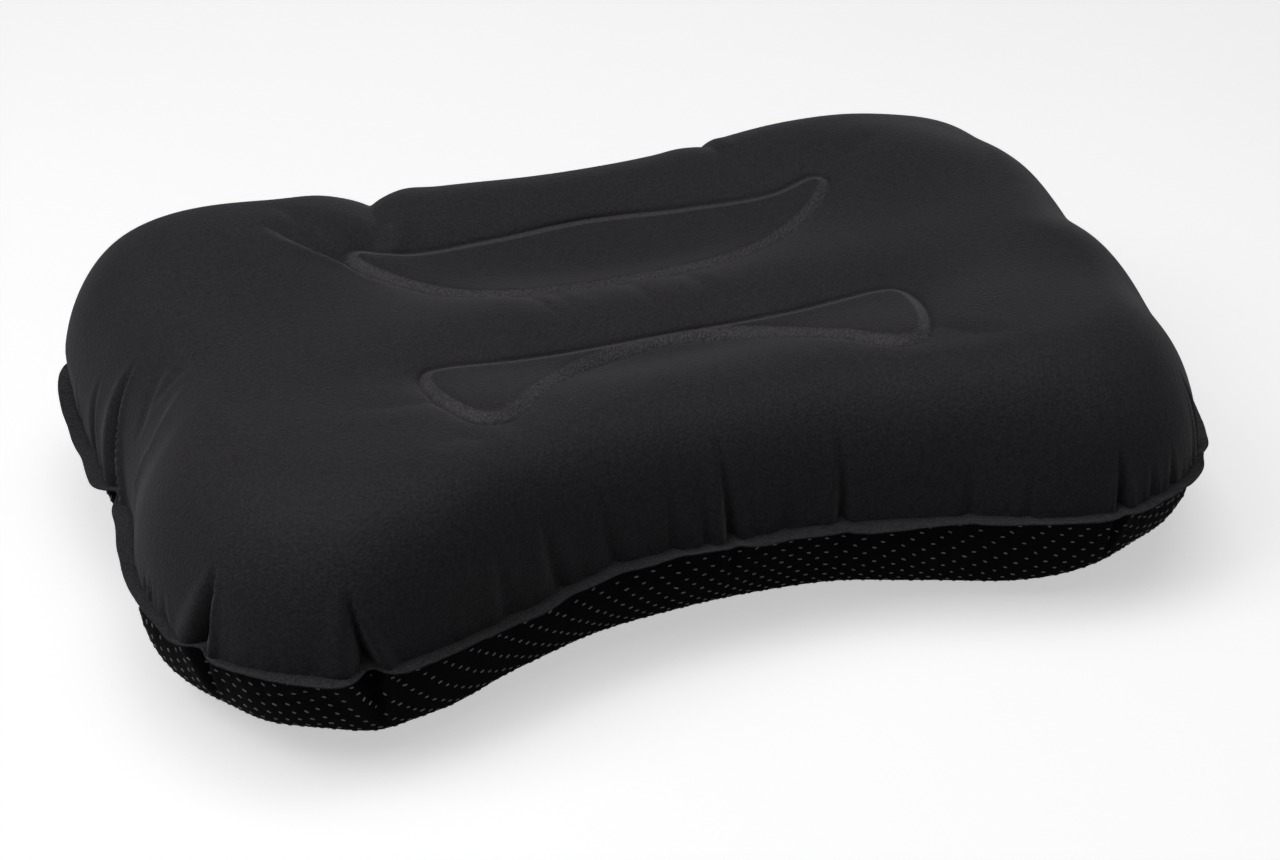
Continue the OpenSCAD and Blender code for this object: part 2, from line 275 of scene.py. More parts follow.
# Squareness of the top's wall: signed station, power. Fuller along the waisted front.
SHOULDER_AT = [-160, -135, -112, -90, -66, 0, 42, 72, 104, 138]
SHOULDER_POWER = [1.95, 2.1, 2.35, 2.85, 3.5, 3.5, 3.1, 2.8, 2.4, 1.95]
PLAIN_POWER = 1.95

shoulder = np.interp(SIGNED, SHOULDER_AT, SHOULDER_POWER)
for _ in range(40):
    shoulder = 0.25 * np.roll(shoulder, 1) + 0.5 * shoulder + 0.25 * np.roll(shoulder, -1)


def wall_share(distance, radius, power):
    """Superellipse wall: 0 at the seam, 1 from the radius inwards."""
    return (1 - (1 - np.clip(distance / radius, 0, 1)) ** power) ** (1 / power)


def top_base(x, y, distance, power):
    rise = RISE_BASE
    for height, cx, cy, spread_x, spread_y in RISE_BELLS:
        rise = rise + height * np.exp(-((np.abs(x) - cx) / spread_x) ** 2
                                      - ((y + Y_MID - cy) / spread_y) ** 2)
    return SEAM_Z + rise * RISE_SCALE * wall_share(distance, TOP_WALL, power)


def low_base(distance):
    return SEAM_Z * (1 - wall_share(distance, LOW_WALL, LOW_POWER))


# ------------------------------------------------------------------ topology of the two skins
def arc_rings(radius, height, power, reach, step=None, count=None):
    """Plan distances of rings evenly spaced along the wall's section."""
    distance = np.linspace(0, 1, 4000) ** 3 * reach
    arc = arc_length(distance, height * wall_share(distance, radius, power))
    count = count or int(arc[-1] / step)
    return np.interp(np.linspace(0, arc[-1], count + 1), arc, distance)


def ring_triangles(rings):
    """Triangles between rings, their diagonals alternating."""
    i = np.arange(STATIONS)
    k = (i + 1) % STATIONS
    out = []
    for j in range(rings - 1):
        a, b = j * STATIONS + i, j * STATIONS + k
        c, d = (j + 1) * STATIONS + k, (j + 1) * STATIONS + i
        if j % 2:
            out += [np.stack([a, b, c], 1), np.stack([a, c, d], 1)]
        else:
            out += [np.stack([a, b, d], 1), np.stack([b, c, d], 1)]
    return out


def lattice_points(ring, pitch, extra):
    """Triangular lattice inside the last ring, giving way to the extra points."""
    lo, hi = ring.min(0), ring.max(0)
    rows = []
    for r, y in enumerate(np.arange(lo[1], hi[1], pitch * 0.866)):
        xs = np.arange(lo[0] + (r % 2) * pitch / 2, hi[0], pitch)
        rows.append(np.stack([xs, np.full(len(xs), y)], 1))
    points = np.vstack(rows)
    if len(extra):
        tree = plan_tree(extra)
        gap = np.array([tree.find((p[0], p[1], 0))[2] for p in points])
        points = np.vstack([points[gap > pitch * 0.62], extra])
    return points[loop_distance(points[:, 0], points[:, 1], ring[::3]) < -pitch * 0.8]


def panel(distances, pitch, extra=()):
    """Plan points, seam distances, triangles and the number of points that lie on rings.

    Rings follow the seam, station by station; the inside is triangulated freely.
    """
    if distances.ndim == 1:
        distances = np.repeat(distances[:, None], STATIONS, 1)
    ring_points = len(distances) * STATIONS
    plan = (SEAM_XY[None] + (SPINE - SEAM_XY)[None]
            * (distances[:, :, None] / RAY[None, :, None])).reshape(-1, 2)
    last = ring_points - STATIONS
    ring = plan[last:]
    free = np.vstack([ring, lattice_points(ring, pitch, extra)])
    result = geometry.delaunay_2d_cdt([Vector(p) for p in free], [],
                                      [list(range(STATIONS))], 1, 1e-5)
    remap = np.empty(len(result[0]), int)
    new = []
    for v, origins in enumerate(result[3]):
        origin = origins[0] if len(origins) else -1
        if 0 <= origin < STATIONS:
            remap[v] = last + origin
        else:
            remap[v] = ring_points + len(new)
            new.append(result[0][v][:])
    inner = remap[np.array([list(f) for f in result[2]])]
    triangles = np.vstack(ring_triangles(len(distances)) + [inner])
    seam_distance = np.r_[distances.reshape(-1), np.full(len(new), 200.0)]
    return np.vstack([plan, np.array(new)]), seam_distance, triangles, ring_points


# ------------------------------------------------------------------ folds
# Each fold is a path of (x, y, depth, width on its left, width on its right),
# left and right as seen walking from the first point to the last.
FOLDS = [
    # from the rear seam over the rim towards the rear weld
    [(-88, 136, 4.0, 5, 8), (-84, 116, 5.2, 6.5, 9), (-84, 100, 5.4, 6, 9),
     (-85, 79, 5.0, 3.2, 9), (-90, 66, 3.4, 2.8, 8), (-96, 52, 0, 3, 6)],
    [(64, 136, 2.6, 3, 5), (66, 120, 2.4, 2.4, 5), (68, 103, 2.2, 2.0, 5), (70, 84, 1.5, 1.8, 5),
     (73, 66, 0, 2, 5)],
]
SOFT_FOLDS = [
    # between the two weld lines
    [(-44, 12, 0.9, 2.6, 4), (-39, -6, 0.8, 2.4, 4), (-35, -18, 0, 3, 4)],
    [(-34, 10, 0.7, 2.6, 4), (-30, -8, 0.6, 2.4, 4), (-26, -22, 0, 3, 4)],
    [(-2, 12, 0.7, 2.6, 4), (1, -8, 0.7, 2.4, 4), (4, -22, 0, 3, 4)],
    [(21, 11, 0.8, 2.6, 4), (25, -8, 0.7, 2.4, 4), (29, -22, 0, 3, 4)],
    # left end
    [(-200, -5, 0.6, 1.6, 1.6), (-192, 3, 1.1, 1.3, 2.2), (-181, 13, 0, 1.6, 2.2)],
    [(-193, -5, 0.6, 1.6, 1.6), (-182, -3, 1.0, 1.3, 2.2), (-169, 5, 0, 1.6, 2.2)],
    [(-206, -24, -1.6, 2.6, 2.6), (-199, -27, -1.4, 2, 4), (-190, -21, -1.0, 2, 5),
     (-180, -11, 0, 3, 6)],
    [(-190, 60, 0.8, 5, 5), (-180, 52, 1.0, 5, 5), (-165, 40, 0, 6, 6)],
    # into the left end of the rear weld
    [(-136, 76, 0, 6, 3), (-126, 67, 3.2, 9, 2.6), (-116, 59, 4.6, 10, 2.2),
     (-106, 53, 4.6, 9, 2.2), (-98, 44, 1.6, 5, 2.4)],
    [(-128, 92, 0, 3, 3), (-120, 78, 1.3, 3.4, 2.4), (-108, 60, 1.3, 3.4, 2.4),
     (-102, 52, 0, 3, 3)],
    # round the front weld
    [(74, -87, 0, 5, 5), (92, -95, -1.2, 5, 4), (106, -111, 0, 5, 5)],
    [(97, -74, 0.5, 3, 3), (108, -86, 1.0, 3, 5), (124, -93, 0, 4, 6)],
    [(-107, -93, 0.2, 4, 4), (-97, -90, 0.9, 4, 5), (-86, -98, 0, 4, 6)],
    [(-76, -86, 0.8, 4, 4), (-76, -95, 0.8, 4, 4), (-76, -103, 0, 5, 5)],
    [(-100, -60, 0.5, 4, 4), (-118, -62, 0.9, 4, 5), (-138, -60, 0, 6, 6)],
    # from the right end of the rear weld
    [(104, 60, 0.6, 4, 4), (122, 66, 1.2, 4, 6), (142, 76, 0, 6, 6)],
]
# Creases rising from the seam up the wall: station (0 to 900, from the middle of the front to
# the right and round), lean in stations per mm of height, depth at the seam, height of the tip,
# width on the low and on the high side of the station, share of the depth on the underside.
CREASES = [
    (752.5, 0.12, 12.5, 36, 9.0, 2.9, 0.9), (801.5, -0.19, 13.0, 36, 10.0, 4.3, 0.9),
    (722.0, 0.0, 2.6, 13, 3.4, 2.6, 0.6), (726.6, 0.02, 2.6, 15, 3.0, 2.6, 0.6),
    (735.0, 0.0, 1.2, 16, 4.0, 4.0, 0.4), (0.6, -0.085, 6.4, 52, 4.8, 3.5, 0.5),
    (29.0, -0.02, 5.4, 48, 4.4, 3.3, 0.5), (884.6, -0.03, 2.6, 46, 5.0, 4.4, 0.4),
    (855.0, -0.15, 2.8, 46, 6.0, 5.0, 0.4), (870.0, -0.13, 2.4, 44, 6.0, 5.0, 0.4),
    (893.6, -0.07, 2.2, 40, 3.6, 3.6, 0.3), (840.0, -0.12, 1.8, 38, 6.0, 5.0, 0.3),
    (14.0, 0.02, 1.6, 34, 4.0, 4.0, 0.3), (60.0, 0.0, 2.2, 30, 4.0, 4.0, 0.5),
    (75.0, 0.0, 1.5, 24, 3.4, 3.4, 0.3), (100.6, -0.02, 7.4, 33, 3.0, 4.2, 1.0),
    (112.0, -0.03, 2.2, 24, 3.0, 3.6, 0.4), (121.0, -0.04, 2.2, 25, 3.0, 3.6, 0.4),
    (141.0, -0.06, 8.0, 40, 3.2, 6.5, 1.0), (151.0, 0.02, 2.0, 30, 3.6, 3.0, 0.5),
    (677.0, -0.34, 14.5, 50, 9.5, 3.0, 1.0), (654.0, -0.10, 3.2, 38, 5.0, 4.5, 0.7),
    (640.0, -0.10, 1.6, 26, 5.0, 4.0, 0.5), (704.0, -0.05, 2.2, 20, 4.0, 4.0, 0.5),
    (180.0, 0.10, 3.0, 34, 5.0, 5.0, 0.6), (222.0, 0.10, 5.0, 44, 4.5, 8.0, 1.0),
    (246.0, 0.06, 2.4, 32, 5.0, 4.5, 0.6), (300.0, 0.10, 5.5, 33, 5.0, 8.0, 0.9),
    (316.0, 0.05, 2.4, 24, 4.0, 4.0, 0.5), (350.0, 0.08, 5.0, 30, 6.0, 4.0, 0.9),
    (436.0, 0.03, 2.0, 38, 5.0, 4.4, 0.4), (472.0, -0.03, 2.4, 42, 4.4, 4.4, 0.5),
    (548.0, -0.08, 5.0, 31, 4.0, 7.0, 0.9), (584.0, -0.05, 2.6, 24, 4.0, 4.0, 0.5),
    (601.0, -0.10, 5.5, 34, 7.0, 5.0, 0.9),
]
# Local fullness (positive) and slack (negative): x, y, outward move, radius
TOP_SWELLS = [
    (-181, 97, 4.2, 40), (-208, 78, 2.5, 26), (92, 105, 2.4, 30), (158, 99, -3.0, 26),
    (193, 76, -6.4, 27), (187, -18, 5.4, 26), (197, -66, -4.4, 24), (-120, -118, 1.2, 30),
    (-40, 106, 0.8, 30)]
LOW_SWELLS = [
    (-167, -119, -3.2, 22), (-210, -66, 3.2, 20), (-190, -101, -1.4, 14), (-141, -124, 1.0, 10),
    (150, -124, -2.2, 24), (172, -122, -2.6, 20), (-40, -96, 1.2, 28), (75, -99, 1.0, 24)]


def fold_field(x, y, folds):
    """Inward displacement of the folds at plan points."""
    tip = 0.5                     # rounding of the fold's bottom
    total = np.zeros(len(x))
    for fold in folds:
        path = np.array(fold, float)
        near = near_points(x, y, path, 45)
        if not near.any():
            continue
        points = np.stack([x[near], y[near]], 1)
        nearest = np.full(len(points), 1e9)
        push = np.zeros(len(points))
        for start, end in zip(path[:-1], path[1:]):
            step = end[:2] - start[:2]
            t = np.clip(((points - start[:2]) @ step) / (step @ step), 0, 1)
            gap = points - start[:2] - t[:, None] * step
            distance = np.linalg.norm(gap, axis=1)
            on_left = step[0] * gap[:, 1] - step[1] * gap[:, 0] > 0
            depth, left, right = (start[k] + (end[k] - start[k]) * t for k in (2, 3, 4))
            width = np.where(on_left, left, right)
            groove = np.exp(-(np.sqrt(distance ** 2 + tip * tip) - tip) / width)
            puff = 0.22 * np.exp(-((distance - 2.6 * width) / (1.4 * width)) ** 2)
            push = np.where(distance < nearest, depth * (groove - puff), push)
            nearest = np.minimum(distance, nearest)
        total[near] += push
    return total


def crease_field(station, height, under=False):
    """Inward displacement of the creases at a station and height above (or below) the seam."""
    total = np.zeros(len(station))
    for at, lean, depth, tip, low_width, high_width, share in CREASES:
        if under:
            depth, tip, lean = depth * share, min(34.0, tip * 0.9), -0.2 * lean
        offset = (station - at + STATIONS / 2) % STATIONS - STATIONS / 2
        t = np.clip(height / tip, 0, 1)
        across = (offset - lean * height) * (PERIMETER / STATIONS)
        near = (np.abs(across) < 40) & (t < 1)
        if not near.any():
            continue
        across, t = across[near], t[near]
        width = np.where(across < 0, low_width, high_width) * ((1 - t) ** 0.75 + 0.10)
        groove = (1 - np.clip(np.sqrt(across * across + 0.16) / width, 0, 1.0)) ** 1.7
        puff = 0.20 * np.exp(-((np.abs(across) - 1.15 * width) / (0.55 * width + 0.6)) ** 2)
        total[near] += depth * (1 - t) ** 1.05 * (groove - puff)
    return total


def ring_creases(height, ring_points, under=False):
    """Crease displacement of a skin's points; only the rings carry creases."""
    out = np.zeros(len(height))
    out[:ring_points] = crease_field(np.arange(ring_points) % STATIONS,
                                     np.maximum(height[:ring_points], 0), under)
    return out


def swells(x, y, table):
    out = np.zeros(len(x))
    for cx, cy, move, radius in table:
        out += move * np.exp(-((x - cx) ** 2 + (y - cy) ** 2) / (radius * radius))
    return out


def seam_puckers(seed):
    """Small puckers along the seam, one value per station."""
    draw = np.random.default_rng(seed)
    total = np.zeros(STATIONS)
    for count in (74, 97, 121, 158, 190, 233):
        total += np.cos(count * SEAM_ANGLE + draw.uniform(0, 6.28)) * draw.uniform(0.5, 1.0)
    envelope = 0.55 + (0.45 * np.cos(5 * SEAM_ANGLE + draw.uniform(0, 6.28))
                       * np.cos(9 * SEAM_ANGLE + draw.uniform(0, 6.28)))
    return total / 3.0 * np.clip(envelope, 0.12, 1.2)


def surface_wander(points, wavelength, size, seed):
    """Smooth wander of a surface: ten waves in random directions."""
    draw = np.random.default_rng(seed)
    total = np.zeros(len(points))
    for _ in range(10):
        wave = draw.normal(size=3)
        wave *= (2 * np.pi / wavelength) / np.linalg.norm(wave) * draw.uniform(0.6, 1.5)
        total += np.cos(points @ wave + draw.uniform(0, 6.28))
    return total / 10 ** 0.5 * size


def seam_waves(start, *terms):
    """Start value plus waves round the seam: size, count, phase."""
    for size, count, phase in terms:
        start = start + size * np.cos(count * SEAM_ANGLE + phase)
    return start


# Seam line shared by both skins and the flange. Sharp folds are read 0.2 mm outside it.
SEAM_FOLD = (fold_field(SEAM_XY[:, 0] - INWARD[:, 0] * 0.2, SEAM_XY[:, 1] - INWARD[:, 1] * 0.2,
                        FOLDS)
             + crease_field(np.arange(STATIONS), np.zeros(STATIONS)))
SEAM_LIFT = (seam_waves(0.0, (0.9, 7, 0.6), (0.7, 11, 2.1), (0.5, 19, 4.0))
             + 0.16 * np.clip(SEAM_FOLD, 0, 9))
SEAM_PULL = 0.82 * SEAM_FOLD + fold_field(SEAM_XY[:, 0], SEAM_XY[:, 1], SOFT_FOLDS)
SEAM_OUT = np.stack([-INWARD[:, 0], -INWARD[:, 1], np.zeros(STATIONS)], 1)

# ------------------------------------------------------------------ valve frame
# Origin on the base's seat, z out of the cushion through the mouth, x towards -x
MOUTH_HEIGHT = 7.1
mouth = [m for m in frame["record"]["mounts"] if m["name"] == "inflation_mouth"][0]
VALVE_Z = np.array(mouth["axis"], float)
VALVE_Z /= np.linalg.norm(VALVE_Z)
VALVE_X = np.array([-1.0, 0, 0])
VALVE_Y = np.cross(VALVE_Z, VALVE_X)
VALVE_ORIGIN = np.array(mouth["pos_m"], float) * MM - VALVE_Z * MOUTH_HEIGHT


def valve_point(x, y, z):
    return VALVE_ORIGIN + VALVE_X * x + VALVE_Y * y + VALVE_Z * z


# ------------------------------------------------------------------ top skin
# Distances from each weld line, positive outside, where the mesh gets rows of its own
WELD_ROWS = (2.6, 1.5, 0.75, 0.3, 0.0, -0.5, -2.0, -BAND + 1.4, -BAND + 0.45, -BAND, -BAND - 0.7)


def weld_row_points():
    rows = []
    for loop in WELD_LOOPS:
        outward = -inward(loop)
        for offset in WELD_ROWS:
            row = resample(loop + outward * offset, int(len(loop) * 1.15))
            distance = loop_distance(row[:, 0], row[:, 1], loop)
            rows.append(row[np.abs(distance - offset) < 0.12])
    points = np.vstack(rows)
    keep = np.ones(len(points), bool)         # thin out points that fall together
    tree = plan_tree(points)
    for n, p in enumerate(points):
        if keep[n]:
            for _, other, _ in tree.find_range((p[0], p[1], 0), 0.27):
                if other > n:
                    keep[other] = False
    return points[keep]


def press_top_welds(x, y, z):
    """Sink z along the weld lines; return weights of the bands, their insides and the painted
    shade along their valley lines.
    """
    band, inside, crease = np.zeros(len(x)), np.zeros(len(x)), np.zeros(len(x))
    lip = 0.9                     # part of the depth taken by the sharp edge
    for n, loop in enumerate(WELD_LOOPS):
        near = near_points(x, y, loop, 60)
        distance = loop_distance(x[near], y[near], loop)
        if n == 0:                # the front loop swings forward and widens towards its ends
            to_end = smooth(30, 75, np.abs(x[near]))
            middle, half = -33 - 24 * to_end, 6 + 19 * to_end
            depth, fade = 3.4, 8.5
        else:
            middle, half = 43.0, 27.0
            depth, fade = 4.2, 9.0
        side = np.clip((y[near] - middle) / half, -1, 1)      # -1 front edge, 1 rear edge
        climb = (2.9 - 0.5 * side) * np.clip(-distance / BAND, 0, 1)
        size = np.abs(distance)
        z[near] += np.where(
            distance > 0,
            -(depth - lip) * np.exp(-size / fade) - lip * np.exp(-size / 1.1),
            -depth + climb + 0.9 * (1 - np.exp(-np.clip(-distance - BAND, 0, 99) / 9.0))
            + 0.25 * smooth(0, 1.2, -distance - BAND))
        # painted shade: weights that darken a narrow line just outside each band, and more faintly
        # along its inner edge
        crease[near] += np.exp(-((distance - 0.2) / 0.8) ** 2) * 0.95
        crease[near] += 0.35 * np.exp(-((distance + BAND + 0.2) / 0.5) ** 2)
        band[near] = np.maximum(band[near], band_weight(distance))
        inside[near] = np.maximum(inside[near], smooth(0, 1.0, -distance - BAND))
    return band, inside, crease


def build_top():
    """Points, triangles, weld weight and painted-shade weight of the top skin."""
    wall_height = 58.0
    count = len(arc_rings(TOP_WALL, wall_height, PLAIN_POWER, TOP_REACH, step=1.55)) - 1
    distances = np.stack([arc_rings(TOP_WALL, wall_height, power, TOP_REACH, count=count)
                          for power in shoulder], 1)
    plan, seam_distance, triangles, ring_points = panel(distances, 1.7, weld_row_points())
    x, y = plan[:, 0], plan[:, 1]
    power = np.full(len(x), PLAIN_POWER)
    power[:ring_points] = np.tile(shoulder, ring_points // STATIONS)
    z = top_base(x, y, seam_distance, power)
    band, inside, crease = press_top_welds(x, y, z)
    points = np.stack([x, y, z], 1)
    normals = vertex_normals(points, triangles)
    normals[:STATIONS] = SEAM_OUT
    height = z - SEAM_Z
    creases = ring_creases(height, ring_points)
    # the wall creases also get painted shade
    crease += smooth(1.2, 7.0, creases) * 0.8
    folds = fold_field(x, y, FOLDS) + creases + fold_field(x, y, SOFT_FOLDS)
    free = 1 - 0.85 * np.maximum(band, inside)
    station = nearest_seam(x, y)
    puckers = (seam_puckers(3)[station] * np.exp(-height / 6.0) * np.clip(height / 1.5, 0, 1)
               * (height < 40))
    move = -folds * free
    move += (1.15 * puckers + (surface_wander(points, 60, 0.35, seed=5)
                               + swells(x, y, TOP_SWELLS)) * np.clip(height / 20, 0, 1) * free)
    move[:STATIONS] = -SEAM_PULL
    points = points + normals * move[:, None]
    points[:, 2] += SEAM_LIFT[station] * np.exp(-height / 9.0)
    return points, triangles, band, crease


# ------------------------------------------------------------------ base skin
def flat_pattern(plan, seam_distance, ring_points):
    """The base unrolled flat: ring points are spread by their arc length."""
    distance = np.linspace(0, 1, 4000) ** 2 * LOW_REACH
    arc = arc_length(distance, low_base(distance))
    pattern = plan.copy()
    station = np.arange(ring_points) % STATIONS
    outward = (SEAM_XY - SPINE) / RAY[:, None]
    from_spine = RAY[station] - LOW_REACH + (
        arc[-1] - np.interp(seam_distance[:ring_points], distance, arc))
    pattern[:ring_points] = SPINE[station] + outward[station] * from_spine[:, None]
    return pattern


def build_low():
    """Points, triangles, weld weight, flat pattern and distance from the valve's axis."""
    distances = arc_rings(LOW_WALL, SEAM_Z, LOW_POWER, LOW_REACH, step=1.7)
    plan, seam_distance, triangles, ring_points = panel(distances, 3.0)
    triangles = triangles[:, ::-1]
    x, y = plan[:, 0], plan[:, 1]
    z = low_base(seam_distance)
    band = np.zeros(len(x))
    weld_lift = 2.6
    for loop in WELD_LOOPS:
        near = near_points(x, y, loop, 40)
        distance = loop_distance(x[near], y[near], loop)
        z[near] += np.where(distance > 0, weld_lift * np.exp(-np.abs(distance) / 7),
                            weld_lift - 0.8 * np.clip(-distance / BAND, 0, 1))
        band[near] = np.maximum(band[near], band_weight(distance))
    points = np.stack([x, y, z], 1)
    normals = vertex_normals(points, triangles)
    normals[:STATIONS] = SEAM_OUT
    drop = SEAM_Z - z
    station = nearest_seam(x, y)
    folds = fold_field(x, y, FOLDS) + fold_field(x, y, SOFT_FOLDS)
    move = (-folds * np.clip(1 - drop / 34.0, 0, 1)
            - ring_creases(drop, ring_points, under=True))
    move += (0.9 * seam_puckers(11)[station] * np.exp(-drop / 9.0)
             * np.clip(drop / 1.5, 0, 1))
    move += (surface_wander(points, 55, 0.5, seed=8)
             * smooth(4, 20, drop) * smooth(0, 10, z))
    move += swells(x, y, LOW_SWELLS) * np.clip(drop / 12, 0, 1)
    move[:STATIONS] = -SEAM_PULL
    # the valve's seat is pressed flat
    height = (points - VALVE_ORIGIN) @ VALVE_Z
    radius = np.linalg.norm(points - VALVE_ORIGIN - height[:, None] * VALVE_Z, axis=1)
    seat = (1 - smooth(21, 31, radius)) * (np.abs(height) < 25)
    inner = (np.arange(len(points)) >= STATIONS)[:, None]
    points = points + normals * move[:, None]
    height = (points - VALVE_ORIGIN) @ VALVE_Z
    points = points - (height * seat)[:, None] * VALVE_Z * inner
    points[:, 2] += SEAM_LIFT[station] * np.exp(-drop / 9.0) * (1 - seat)
    points[:, 2] = np.maximum(points[:, 2], 0.34)
    return points, triangles, band, flat_pattern(plan, seam_distance, ring_points), radius


top_points, top_triangles, top_band, top_crease = build_top()
low_points, low_triangles, low_band, low_pattern, valve_radius = build_low()


# ------------------------------------------------------------------ materials
def grey(value):
    return (value, value, value, 1.0)


def tint(colour, by, plus=0.0):
    return tuple(c * by + plus for c in colour) + (1.0,)


class Nodes:
    """Short hand for building a node tree."""

    def __init__(self, tree):
        self.tree = tree

    def add(self, kind, **settings):
        node = self.tree.nodes.new(kind)
        for key, value in settings.items():
            setattr(node, key, value)
        return node

    def feed(self, socket, value):
        """Link a socket to the input, or set the input's value."""
        if isinstance(value, bpy.types.NodeSocket):
            self.tree.links.new(value, socket)
        else:
            socket.default_value = value

    def surface(self, inputs):
        for name, value in inputs.items():
            self.feed(self.shader.inputs[name], value)

    def coords(self):
        return self.add("ShaderNodeTexCoord").outputs["Object"]

    def noise(self, vector, scale, detail=2.0, rough=0.5, distortion=0.0):
        node = self.add("ShaderNodeTexNoise")
        node.inputs["Scale"].default_value = scale
        node.inputs["Detail"].default_value = detail
        node.inputs["Roughness"].default_value = rough
        node.inputs["Distortion"].default_value = distortion
        self.feed(node.inputs["Vector"], vector)
        return node.outputs["Fac"]

    def cells(self, vector, scale):
        node = self.add("ShaderNodeTexVoronoi")
        node.inputs["Scale"].default_value = scale
        self.feed(node.inputs["Vector"], vector)
        return node.outputs["Distance"]

    def ramp(self, value, *stops):
        """Linear ramp; each stop is a position and a colour."""
        node = self.add("ShaderNodeValToRGB")
        elements = node.color_ramp.elements
        while len(elements) > 1:
            elements.remove(elements[-1])
        elements[0].position, elements[0].color = stops[0]
        for position, colour in stops[1:]:
            elements.new(position).color = colour
        self.feed(node.inputs[0], value)
        return node.outputs[0]

    def math(self, operation, *values, clamp=False):
        node = self.add("ShaderNodeMath", operation=operation, use_clamp=clamp)
        for socket, value in zip(node.inputs, values):
            self.feed(socket, value)
        return node.outputs[0]

    def scaled(self, value, by, plus=None, clamp=False):
        if plus is None:
            return self.math("MULTIPLY", value, by, clamp=clamp)
        return self.math("MULTIPLY_ADD", value, by, plus, clamp=clamp)

    def mix(self, first, second, amount, blend="MIX"):
        node = self.add("ShaderNodeMix", data_type="RGBA", blend_type=blend)
        for index, value in ((0, amount), (6, first), (7, second)):
            self.feed(node.inputs[index], value)
        return node.outputs[2]

    def attribute(self, name):
        return self.add("ShaderNodeAttribute", attribute_name=name).outputs["Fac"]

    def bump(self, height, strength, distance):
        node = self.add("ShaderNodeBump")
        node.inputs["Strength"].default_value = strength
        node.inputs["Distance"].default_value = distance
        self.feed(node.inputs["Height"], height)
        return node.outputs[0]


def material(name):
    mat = bpy.data.materials.new(name)
    mat.use_nodes = True
    mat.node_tree.nodes.clear()
    t = Nodes(mat.node_tree)
    t.output = t.add("ShaderNodeOutputMaterial")
    t.shader = t.add("ShaderNodeBsdfPrincipled")
    t.feed(t.output.inputs[0], t.shader.outputs[0])
    return mat, t


def knit(name, shade_factor=1.0):
    """Brushed stretch knit: pebbled grain, soft sheen, crisper and lighter where welded, with
    painted shade darkening its valleys and wall folds; a factor below 1 gives a copy darkened all
    over by painted shade.
    """
    mat, t = material(name)
    v = t.coords()
    weld = t.attribute("weld")
    wander = t.noise(v, scale=22, detail=3, rough=0.55)
    fine = t.noise(v, scale=1250, detail=3, rough=0.62)
    cell = t.cells(v, scale=1150)
    pebble = t.noise(v, scale=760)
    colour = t.ramp(wander, (0.3, (0.0186, 0.0165, 0.0204, 1)), (0.7, (0.0211, 0.0188, 0.0230, 1)))
    grain = t.ramp(fine, (0.38, grey(0.60)), (0.62, grey(1.42)))
    colour = t.mix(colour, grain, amount=0.75, blend="MULTIPLY")
    pebbles = t.ramp(pebble, (0.38, grey(0.72)), (0.62, grey(1.26)))
    colour = t.mix(colour, pebbles, amount=0.8, blend="MULTIPLY")
    welded = t.ramp(cell, (0.08, (0.088, 0.081, 0.092, 1)), (0.40, (0.064, 0.059, 0.067, 1)),
                    (0.62, (0.036, 0.033, 0.038, 1)))
    colour = t.mix(colour, welded, amount=t.scaled(weld, by=0.9, clamp=True))
    # painted shade: a factor below 1 darkens the whole colour, for a shaded copy of this knit
    if shade_factor != 1.0:
        colour = t.mix(colour, grey(shade_factor), amount=1.0, blend="MULTIPLY")
    # painted shade: the weighted valley and crease lines are mixed towards near black
    creased = t.scaled(t.attribute("crease"), by=0.72, clamp=True)
    colour = t.mix(colour, (0.004, 0.0038, 0.0042, 1), amount=creased)
    rough = t.scaled(fine, by=0.10, plus=0.66)
    rough = t.math("SUBTRACT", rough, t.scaled(weld, by=0.14))
    relief = t.math("ADD", t.scaled(fine, by=0.5), t.scaled(pebble, by=0.6))
    weld_relief = t.math("MULTIPLY", t.math("SUBTRACT", 0.6, cell), t.scaled(weld, by=0.55))
    relief = t.math("ADD", relief, weld_relief)
    t.surface({
        "Base Color": colour, "Roughness": rough, "Specular IOR Level": 0.28,
        "Sheen Weight": 0.22, "Sheen Roughness": 0.42, "Sheen Tint": (0.86, 0.85, 0.90, 1),
        "Normal": t.bump(relief, strength=0.9, distance=0.00055)})
    return mat


def weave():
    """Close plain weave, near black, laid on the flat pattern carried by the mesh."""
    thread_pitch = 0.55
    mat, t = material("base_weave")
    v = t.coords()
    pattern_x, pattern_y = t.attribute("pat_x"), t.attribute("pat_y")
    turns = 2 * math.pi / thread_pitch
    wave_x = t.math("SINE", t.scaled(pattern_x, by=turns))
    wave_y = t.math("SINE", t.scaled(pattern_y, by=turns))
    check = t.math("MULTIPLY", wave_x, wave_y)
    rib = t.math("ADD", t.scaled(t.math("ABSOLUTE", wave_x), by=0.5),
                 t.scaled(t.math("ABSOLUTE", wave_y), by=0.5))
    relief = t.math("ADD", t.scaled(check, by=0.4), rib)
    wander = t.noise(v, scale=30, detail=3, rough=0.55)
    fine = t.noise(v, scale=2200)
    colour = t.ramp(wander, (0.3, (0.0015, 0.0014, 0.0017, 1)), (0.7, (0.0024, 0.0023, 0.0027, 1)))
    shade = t.ramp(t.scaled(check, by=0.5, plus=0.5), (0.0, grey(0.7)), (1.0, grey(1.35)))
    colour = t.mix(colour, shade, amount=0.8, blend="MULTIPLY")
    welded = t.scaled(t.attribute("weld"), by=0.6)
    t.surface({
        "Base Color": t.mix(colour, (0.0055, 0.0055, 0.006, 1), amount=welded),
        "Roughness": t.scaled(fine, by=0.14, plus=0.52), "Specular IOR Level": 0.10,
        "Sheen Weight": 0.02, "Sheen Roughness": 0.5,
        "Normal": t.bump(relief, strength=0.45, distance=0.00018)})
    return mat


